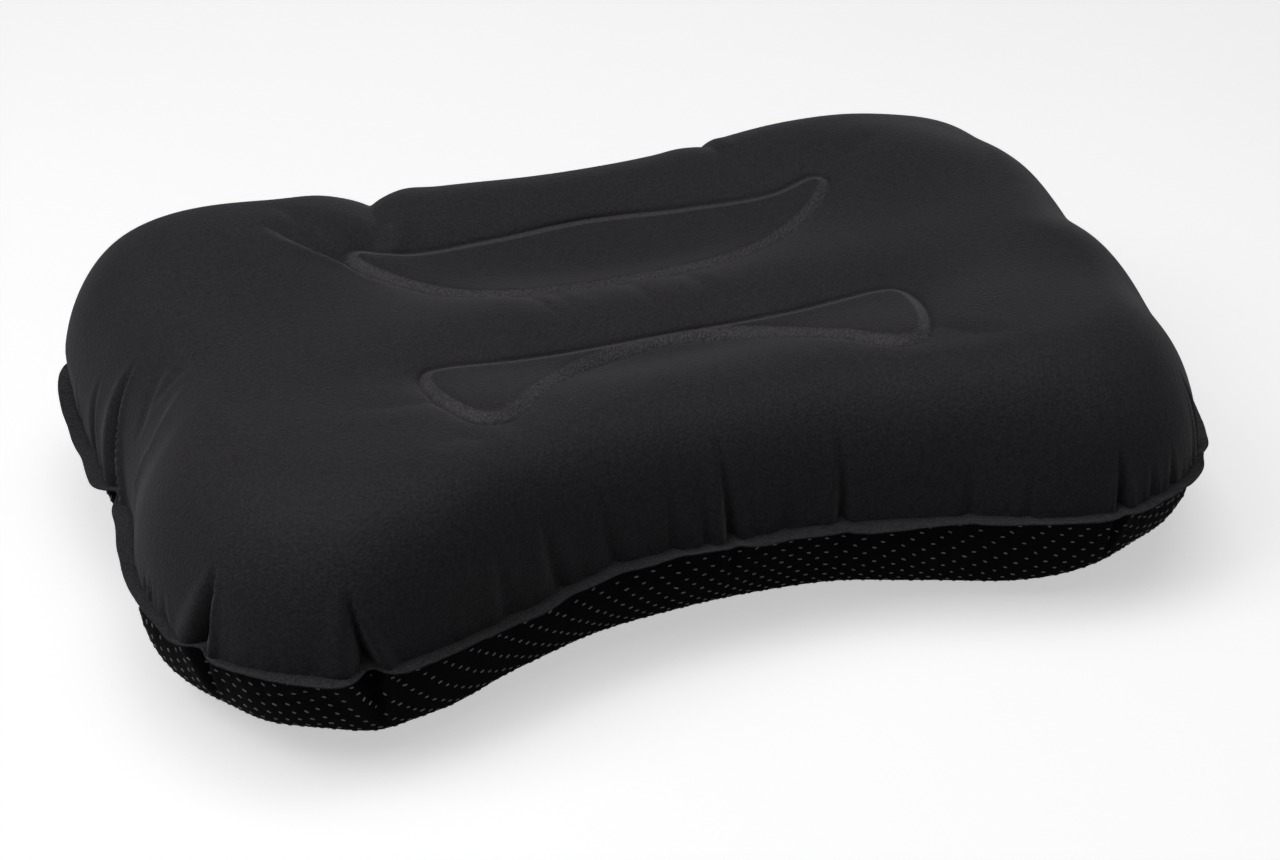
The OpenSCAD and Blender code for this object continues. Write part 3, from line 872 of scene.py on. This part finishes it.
def silicone(name, colour, rough, specular, subsurface=0.0):
    mat, t = material(name)
    v = t.coords()
    cloud = t.noise(v, scale=400, detail=3, rough=0.6)
    t.surface({
        "Base Color": t.ramp(cloud, (0.3, tint(colour, 0.86)), (0.7, tint(colour, 1.1))),
        "Roughness": t.scaled(cloud, by=0.18, plus=rough), "Specular IOR Level": specular,
        "Subsurface Weight": subsurface, "Subsurface Radius": (0.002, 0.002, 0.002),
        "Normal": t.bump(t.noise(v, scale=1800), strength=0.2, distance=0.00008)})
    return mat


def moulded(name, colour, rough=0.46):
    """Satin moulding: fine grain, paler along its edges."""
    mat, t = material(name)
    v = t.coords()
    grain = t.noise(v, scale=2600, detail=4, rough=0.6)
    smear = t.noise(v, scale=120, detail=4, rough=0.6, distortion=0.4)
    pointiness = t.add("ShaderNodeNewGeometry").outputs["Pointiness"]
    edge = t.ramp(pointiness, (0.52, grey(0.0)), (0.60, grey(1.0)))
    base = t.ramp(smear, (0.3, tint(colour, 0.85)), (0.7, tint(colour, 1.15)))
    # paler colour on the convex edges
    pale_edge = tint(colour, 1.9, plus=0.012)
    smear_rough = t.scaled(smear, by=0.16, plus=rough - 0.06)
    t.surface({
        "Base Color": t.mix(base, pale_edge, amount=t.scaled(edge, by=0.5)),
        "Roughness": t.scaled(grain, by=0.08, plus=smear_rough), "Specular IOR Level": 0.42,
        "Normal": t.bump(grain, strength=0.35, distance=0.00008)})
    return mat


def film():
    mat, t = material("tie_film")
    v = t.coords()
    cloud = t.noise(v, scale=90, detail=4, rough=0.6)
    fine = t.noise(v, scale=1200)
    t.surface({
        "Base Color": t.ramp(cloud, (0.3, (0.42, 0.42, 0.40, 1)), (0.7, (0.56, 0.56, 0.53, 1))),
        "Roughness": t.scaled(fine, by=0.2, plus=0.3),
        "Normal": t.bump(cloud, strength=0.3, distance=0.0004)})
    return mat


def wire():
    mat, t = material("spring_wire")
    grain = t.noise(t.coords(), scale=3000, detail=3, rough=0.6)
    t.surface({
        "Base Color": t.ramp(grain, (0.3, (0.50, 0.51, 0.52, 1)), (0.7, (0.68, 0.69, 0.70, 1))),
        "Metallic": 1.0, "Roughness": t.scaled(grain, by=0.2, plus=0.24),
        "Normal": t.bump(grain, strength=0.2, distance=0.00004)})
    return mat


TOP_KNIT = knit("top_knit")
# the flange's knit is the top knit darkened to 0.52 as painted shade
FLANGE_KNIT_SHADED = knit("flange_knit_shaded", shade_factor=0.52)
BASE_WEAVE = weave()
GRIP = silicone("grip_silicone", (0.33, 0.33, 0.325), rough=0.26, specular=0.40)
VALVE = moulded("valve_moulding", (0.020, 0.020, 0.021))
CAP = moulded("cap_moulding", (0.026, 0.026, 0.028), rough=0.42)
SEAL = silicone("seal_silicone", (0.58, 0.59, 0.58), rough=0.30, specular=0.45, subsurface=0.1)
BUTTON = moulded("button_plastic", (0.46, 0.47, 0.46), rough=0.38)
FILM = film()
WIRE = wire()


# ------------------------------------------------------------------ cloth pieces
def add_top():
    top = make_mesh("top_skin", top_points, top_triangles, TOP_KNIT)
    # the crease weight carries painted shade for the knit
    set_attributes(top, weld=top_band, crease=np.clip(top_crease, 0, 1))
    piece(top, ("top_panel",))


def add_base():
    """The base skin, with a hole for the valve."""
    hole = valve_radius < 12.6
    kept = low_triangles[~hole[low_triangles].any(1)]
    used = np.unique(kept)
    renumber = -np.ones(len(low_points), int)
    renumber[used] = np.arange(len(used))
    low = make_mesh("base_skin", low_points[used], renumber[kept], BASE_WEAVE)
    set_attributes(low, weld=low_band[used], pat_x=low_pattern[used, 0],
                   pat_y=low_pattern[used, 1])
    piece(low, ("bottom_panel",))


# Section of the flange: distance out from the seam at full width, height in half thicknesses,
# weld weight. It runs out over the top side and back under.
FLANGE_SECTION = [
    (-0.6, 1, 0.25), (0.6, 1, 0.5), (2.4, 0.9, 0.9), (4.4, 0.9, 1), (6.0, 0.95, 1),
    (7.2, 1, 0.9), (7.85, 0.6, 0.6), (8.0, 0, 0.6), (7.85, -0.6, 0.5), (7.2, -1, 0.9),
    (6.0, -0.95, 1), (4.4, -0.9, 1), (2.4, -0.9, 0.9), (0.6, -1, 0.5), (-0.6, -1, 0.2)]
FLANGE_HALF_THICK = 0.42


def soften(values):
    """Blur values round the seam."""
    reach = 12
    kernel = np.exp(-0.5 * (np.arange(-reach, reach + 1) / 3.2) ** 2)
    kernel /= kernel.sum()
    return np.convolve(np.r_[values[-reach:], values, values[:reach]], kernel, "valid")


def add_flange():
    """A thin wavy strip from the seam outwards, with a rounded edge."""
    seam = top_points[:STATIONS]
    droop = seam_waves(0.10, (0.12, 7, 1.2), (0.09, 13, 0.4), (0.07, 29, 2.0))
    droop += 0.02 * np.clip(SEAM_FOLD, 0, 10)
    ripple = 0.10 * seam_puckers(21)
    pull = soften(SEAM_PULL)
    soft_seam = np.stack([SEAM_XY[:, 0] + INWARD[:, 0] * pull,
                          SEAM_XY[:, 1] + INWARD[:, 1] * pull, soften(seam[:, 2])], 1)
    width = (seam_waves(FLANGE - 1.0, (0.35, 9, 0))
             * (1 - 0.55 * smooth(1.5, 8.0, soften(SEAM_FOLD))))
    # trimmed closer round the two front lobes
    left_lobe = smooth(-205, -185, SIGNED) * (1 - smooth(-95, -40, SIGNED))
    right_lobe = smooth(60, 90, SIGNED) * (1 - smooth(165, 185, SIGNED))
    width *= 1 - 0.30 * left_lobe - 0.22 * right_lobe
    rows = []
    for out, level, _ in FLANGE_SECTION:
        share = float(np.clip(out / FLANGE, 0, 1))
        reach = out * width / FLANGE if out > 0 else out
        sag = droop * reach * share + ripple * share * 2.2
        line = seam + (soft_seam - seam) * float(np.clip(out / FLANGE * 1.15, 0, 1))
        rows.append(np.stack([line[:, 0] - INWARD[:, 0] * reach,
                              line[:, 1] - INWARD[:, 1] * reach,
                              line[:, 2] + sag + FLANGE_HALF_THICK * level], 1))
    points = np.stack(rows, 1).reshape(-1, 3)
    cols = len(rows)
    flange = make_mesh("weld_flange", points,
                       grid_faces(STATIONS, cols, wrap_rows=True, flip=True), FLANGE_KNIT_SHADED)
    flange.data.materials.append(BASE_WEAVE)
    weld = np.tile(np.array([row[2] for row in FLANGE_SECTION]), STATIONS)
    set_attributes(flange, weld=weld, pat_x=points[:, 0], pat_y=points[:, 1])
    under = np.array([1 if j >= 8 else 0 for j in range(cols - 1)])
    flange.data.polygons.foreach_set("material_index", np.tile(under, STATIONS))
    piece(flange)


add_top()
add_base()
add_flange()

# ------------------------------------------------------------------ grip dots
DOT_PITCH = 7.6                   # along a row; every other row is shifted by half of it
DOT_ROW = 3.7                     # between rows
DOT_SIDES = 10
DOT_RINGS = ((1.0, -0.1), (0.95, 0.14), (0.66, 0.28))      # radius share, height


def cross2(a, b):
    return a[:, 0] * b[:, 1] - b[:, 0] * a[:, 1]


def dot_places():
    """Map each (row, column) on the pattern to its triangle and two barycentric weights."""
    corner, second, third = (low_pattern[low_triangles[:, k]] for k in range(3))
    side_b, side_c = second - corner, third - corner
    area2 = cross2(side_b, side_c)
    area2 = np.where(np.abs(area2) < 1e-9, 1e-9, area2)
    middle = low_pattern[low_triangles].mean(1)
    found = {}
    for row_step in (-1, 0, 1):
        row = np.round(middle[:, 1] / DOT_ROW).astype(int) + row_step
        shift = (row % 2) * 0.5
        for column_step in (-1, 0, 1):
            column = np.round(middle[:, 0] / DOT_PITCH - shift).astype(int) + column_step
            spot = np.stack([(column + shift) * DOT_PITCH, row * DOT_ROW], 1) - corner
            u = cross2(spot, side_c) / area2
            w = cross2(side_b, spot) / area2
            hit = (u >= -1e-6) & (w >= -1e-6) & (u + w <= 1 + 1e-6)
            for i in np.nonzero(hit)[0]:
                found.setdefault((int(row[i]), int(column[i])), (i, float(u[i]), float(w[i])))
    return found


def pattern_x_direction(a, b, c, normal):
    """Direction of the pattern's x axis on the surface of triangle a, b, c."""
    v0, v1 = low_pattern[b] - low_pattern[a], low_pattern[c] - low_pattern[a]
    area2 = v0[0] * v1[1] - v1[0] * v0[1]
    out = ((low_points[b] - low_points[a]) * (v1[1] / area2)
           + (low_points[c] - low_points[a]) * (-v0[1] / area2))
    out -= normal * (out @ normal)
    out /= np.linalg.norm(out) + 1e-9
    return out


def add_grip_dots():
    """Rows of raised silicone dashes on the underside."""
    n = DOT_SIDES
    one_dot = [(j * n + k, j * n + (k + 1) % n, (j + 1) * n + (k + 1) % n, (j + 1) * n + k)
               for j in range(2) for k in range(n)]
    one_dot.append(tuple(2 * n + k for k in range(n)))
    normals = vertex_normals(low_points, low_triangles)
    draw = np.random.default_rng(5)
    points, faces = [], []
    for _, (i, u, w) in sorted(dot_places().items()):
        a, b, c = low_triangles[i]
        at = low_points[a] * (1 - u - w) + low_points[b] * u + low_points[c] * w
        if valve_radius[a] < 19 or low_band[a] > 0.3 or at[2] > SEAM_Z - 2.2:
            continue
        normal = normals[a] * (1 - u - w) + normals[b] * u + normals[c] * w
        normal /= np.linalg.norm(normal)
        pattern_x = pattern_x_direction(a, b, c, normal)
        turn = draw.normal(0, 0.16)
        along = (pattern_x * math.cos(turn)
                 + np.cross(normal, pattern_x) * math.sin(turn))
        across = np.cross(normal, along)
        stretch = 0.50 + draw.normal(0, 0.06)
        radius = 0.33 + draw.normal(0, 0.03)
        at = at + along * draw.normal(0, 0.16) + across * draw.normal(0, 0.12)
        first = len(points)
        for share, height in DOT_RINGS:
            for k in range(n):
                angle = 2 * math.pi * k / n
                x = share * math.cos(angle) * radius + stretch * math.tanh(3 * math.cos(angle))
                y = share * math.sin(angle) * radius
                point = at + along * x + across * y + normal * height
                point[2] = max(point[2], 0.02)
                points.append(point)
        faces += [tuple(first + f for f in face) for face in one_dot]
    dots = make_mesh("grip_dots", np.array(points), faces, GRIP)
    dots["dots"] = len(points) // (len(DOT_RINGS) * n)
    piece(dots)


add_grip_dots()

# ------------------------------------------------------------------ ties inside, between the skins
# Section of a tie: offset across the band, 1 on the top skin or 0 on the base, height offset
TIE_SECTION = [
    (2.4, 0, 0), (0.25, 0, 0), (0.25, 1, 0), (2.4, 1, 0), (2.4, 1, -0.5), (0.3, 1, -0.5),
    (-0.3, 1, -0.5), (-2.4, 1, -0.5), (-2.4, 1, 0), (-0.25, 1, 0), (-0.25, 0, 0), (-2.4, 0, 0),
    (-2.4, 0, 0.5), (0, 0, 0.5), (2.4, 0, 0.5)]


def height_at(skin, plan):
    """Height of the skin's point nearest in plan."""
    tree = plan_tree(skin)
    return np.array([skin[tree.find((a, b, 0))[1], 2] for a, b in plan])


def add_tie(name, loop, node):
    centre = resample(loop + inward(loop) * BAND * 0.5, 260)
    inner = STATIONS * 30         # leaves out the outer 30 rings
    low_z = height_at(low_points[inner:], centre) + 0.7
    top_z = height_at(top_points[inner:], centre) - 2.6
    across = inward(centre)
    rows = []
    for offset, at_top, lift in TIE_SECTION:
        line = centre + across * offset
        rows.append(np.stack([line[:, 0], line[:, 1], (top_z if at_top else low_z) + lift], 1))
    points = np.stack(rows, 1)
    faces = grid_faces(len(centre), len(rows), wrap_rows=True, wrap_cols=True)
    piece(make_mesh(name, points.reshape(-1, 3), faces, FILM), (node,))


add_tie("front_web", WELD_LOOPS[0], "front_tie")
add_tie("rear_web", WELD_LOOPS[1], "rear_tie")

# ------------------------------------------------------------------ valve straps and spring
# Paths in the valve's x-z plane
PLUG_STRAP_PATH = [
    (-13.1, 1.66), (-15.7, 1.66), (-16.2, 1.95), (-16.25, 2.4), (-16.25, 4.0), (-16.03, 4.5),
    (-15.5, 4.74), (-12.8, 4.74)]
CAP_STRAP_PATH = [
    (12.8, 4.92), (15.2, 4.92), (15.65, 5.2), (15.7, 5.7), (15.7, 8.5), (15.5, 9.0), (15.0, 9.2),
    (11.0, 9.2)]


def strap(name, path, width, thick, mat):
    """A ribbon with rounded edges along a path."""
    path = np.array(path, float)
    line = [path[0]]
    for a, b in zip(path[:-1], path[1:]):
        steps = max(2, int(np.linalg.norm(b - a) / 0.22))
        line += [a + (b - a) * k / steps for k in range(1, steps + 1)]
    line = np.array(line)
    for _ in range(2):
        line[1:-1] = 0.25 * line[:-2] + 0.5 * line[1:-1] + 0.25 * line[2:]
    along = np.gradient(line, axis=0)
    along /= np.linalg.norm(along, axis=1)[:, None]
    normals = np.stack([-along[:, 1], along[:, 0]], 1)
    radius = thick * 0.42
    y, z = width / 2 - radius, thick / 2 - radius
    section = []
    for cy, cz, first in ((y, z, 0), (-y, z, 90), (-y, -z, 180), (y, -z, 270)):
        for k in range(5):
            angle = math.radians(first + 22.5 * k)
            section.append((cy + radius * math.cos(angle), cz + radius * math.sin(angle)))
    points = []
    for centre, normal in zip(line, normals):
        for across, out in section:
            at = centre + normal * out
            points.append(valve_point(at[0], across, at[1]))
    return make_mesh(name, np.array(points), tube_faces(len(line), len(section)), mat)


def coil():
    """The button's spring."""
    turns, steps, sides = 3, 40, 12
    coil_radius, wire_radius = 2.35, 0.22
    low, high = -3.34, -0.86
    count = turns * steps
    points = []
    for i in range(count + 1):
        around_axis = 2 * math.pi * i / steps
        for j in range(sides):
            around_wire = 2 * math.pi * j / sides
            r = coil_radius + wire_radius * math.cos(around_wire)
            points.append(valve_point(
                r * math.cos(around_axis), r * math.sin(around_axis),
                low + (high - low) * i / count + wire_radius * math.sin(around_wire)))
    return make_mesh("button_coil", np.array(points), tube_faces(count + 1, sides, flip=True),
                     WIRE)


plug_strap = strap("plug_strap", PLUG_STRAP_PATH, width=6.9, thick=0.68, mat=VALVE)
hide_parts("plug_tether")
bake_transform(plug_strap)
cap_strap = strap("cap_strap", CAP_STRAP_PATH, width=5.9, thick=0.74, mat=CAP)
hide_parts("cap_tether")
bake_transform(cap_strap)
spring = coil()
piece(spring, ("button_spring",), body="dump")
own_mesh(spring)

# CAD pieces that keep their shape: node, material, bevel width in metres
EDGE, SEAL_EDGE = 0.00022, 0.00002
for node_name, mat, bevel_width in (
        ("valve_patch", FILM, EDGE), ("valve_flange", VALVE, EDGE), ("dump_plug", VALVE, EDGE),
        ("plug_seal", SEAL, SEAL_EDGE), ("release_button", BUTTON, EDGE),
        ("check_flap", SEAL, EDGE), ("stem_clip", BUTTON, EDGE), ("valve_cap", CAP, EDGE)):
    node = frame["nodes"][node_name]
    node.data.materials.clear()
    node.data.materials.append(mat)
    bevel = node.modifiers.new("edge", "BEVEL")
    bevel.width = bevel_width
    bevel.segments = 2
    bevel.limit_method = "ANGLE"
    bevel.angle_limit = math.radians(40)

# ------------------------------------------------------------------ stage, in metres
scene = bpy.context.scene
scene.view_settings.view_transform = "Standard"
scene.view_settings.look = "None"
scene.view_settings.exposure = 0.0
scene.view_settings.gamma = 1.0
VIEW_AZIMUTH = -19.56             # degrees from -y, negative towards -x


def floor_material():
    """Pale to the camera, darker to other rays, and seen from its front only."""
    mat, t = material("pale_floor")
    is_camera = t.add("ShaderNodeLightPath").outputs["Is Camera Ray"]
    cloud = t.noise(t.coords(), scale=3, detail=3)
    pale = t.ramp(cloud, (0.3, grey(0.80)), (0.7, grey(0.82)))
    t.surface({
        "Base Color": t.mix(grey(0.22), pale, amount=is_camera), "Roughness": 0.9,
        "Specular IOR Level": 0.1, "Emission Color": grey(1.0),
        "Emission Strength": t.scaled(is_camera, by=0.50)})
    # the back is clear, so the underside shows from below
    backfacing = t.add("ShaderNodeNewGeometry").outputs["Backfacing"]
    clear = t.add("ShaderNodeBsdfTransparent")
    sided = t.add("ShaderNodeMixShader")
    for index, value in enumerate((backfacing, t.shader.outputs[0], clear.outputs[0])):
        t.feed(sided.inputs[index], value)
    t.feed(t.output.inputs[0], sided.outputs[0])
    return mat


def add_floor():
    """A floor that curves up into a wall behind, turned to face the camera."""
    radius, bend, half_width = 0.8, 1.2, 8.0
    profile = [(-6.0, 0.0), (bend, 0.0)]
    profile += [(bend + radius * math.sin(a), radius - radius * math.cos(a))
                for a in np.linspace(0.1, math.pi / 2, 10)]
    profile.append((2.0, 5.0))
    points = np.array([(x * MM, y * MM, z * MM) for y, z in profile
                       for x in (-half_width, half_width)])
    faces = [(2 * j, 2 * j + 1, 2 * j + 3, 2 * j + 2) for j in range(len(profile) - 1)]
    c, s = math.cos(math.radians(VIEW_AZIMUTH)), math.sin(math.radians(VIEW_AZIMUTH))
    x, y, z = points.T
    turned = np.stack([x * c - y * s, x * s + y * c, z], 1)
    make_mesh("studio_floor", turned, faces, floor_material())


def add_light(name, swing, elevation, distance, width, height, power):
    azimuth, tilt = math.radians(VIEW_AZIMUTH + swing), math.radians(elevation)
    place = (distance * math.sin(azimuth) * math.cos(tilt),
             -distance * math.cos(azimuth) * math.cos(tilt), 0.06 + distance * math.sin(tilt))
    light = bpy.data.lights.new(name, "AREA")
    light.energy = power
    light.shape = "RECTANGLE"
    light.size = width
    light.size_y = height
    obj = bpy.data.objects.new(name, light)
    obj.location = place
    aim = Vector((0, 0, 0.05)) - Vector(place)
    obj.rotation_euler = aim.to_track_quat("-Z", "Y").to_euler()
    scene.collection.objects.link(obj)


def add_world():
    world = bpy.data.worlds.new("studio")
    scene.world = world
    world.use_nodes = True
    t = Nodes(world.node_tree)
    background = world.node_tree.nodes["Background"]
    background.inputs[0].default_value = grey(1)
    is_camera = t.add("ShaderNodeLightPath").outputs["Is Camera Ray"]
    t.feed(background.inputs[1], t.scaled(is_camera, by=0.76, plus=0.13))


def add_camera():
    azimuth, elevation = math.radians(VIEW_AZIMUTH), math.radians(32.01)
    distance, target_z = 937.26, 57.0         # mm
    data = bpy.data.cameras.new("view")
    camera = bpy.data.objects.new("view", data)
    scene.collection.objects.link(camera)
    back = Vector((math.sin(azimuth) * math.cos(elevation),
                   -math.cos(azimuth) * math.cos(elevation), math.sin(elevation)))
    right = Vector((math.cos(azimuth), math.sin(azimuth), 0))
    place = (Vector((0, -Y_MID, target_z)) + back * distance) / MM
    turn = Matrix((right, back.cross(right), back)).transposed()
    camera.matrix_world = Matrix.Translation(place) @ turn.to_4x4()
    data.sensor_width = 36.0
    data.lens = 65.4834375
    data.shift_x = -0.0110234375
    data.shift_y = -0.0204765625
    data.clip_end = 50
    scene.camera = camera


add_floor()
add_world()
# name, degrees round from the camera, elevation, distance, width, height, power
for light_row in (("soft_top", -20, 84, 1.6, 1.4, 1.4, 10.7),
                  ("soft_left", -68, 48, 1.6, 0.9, 0.8, 6.2),
                  ("soft_front", 30, 24, 1.6, 0.8, 0.8, 0.7),
                  ("soft_back", 170, 11, 1.7, 0.9, 0.4, 0.9)):
    add_light(*light_row)
add_camera()
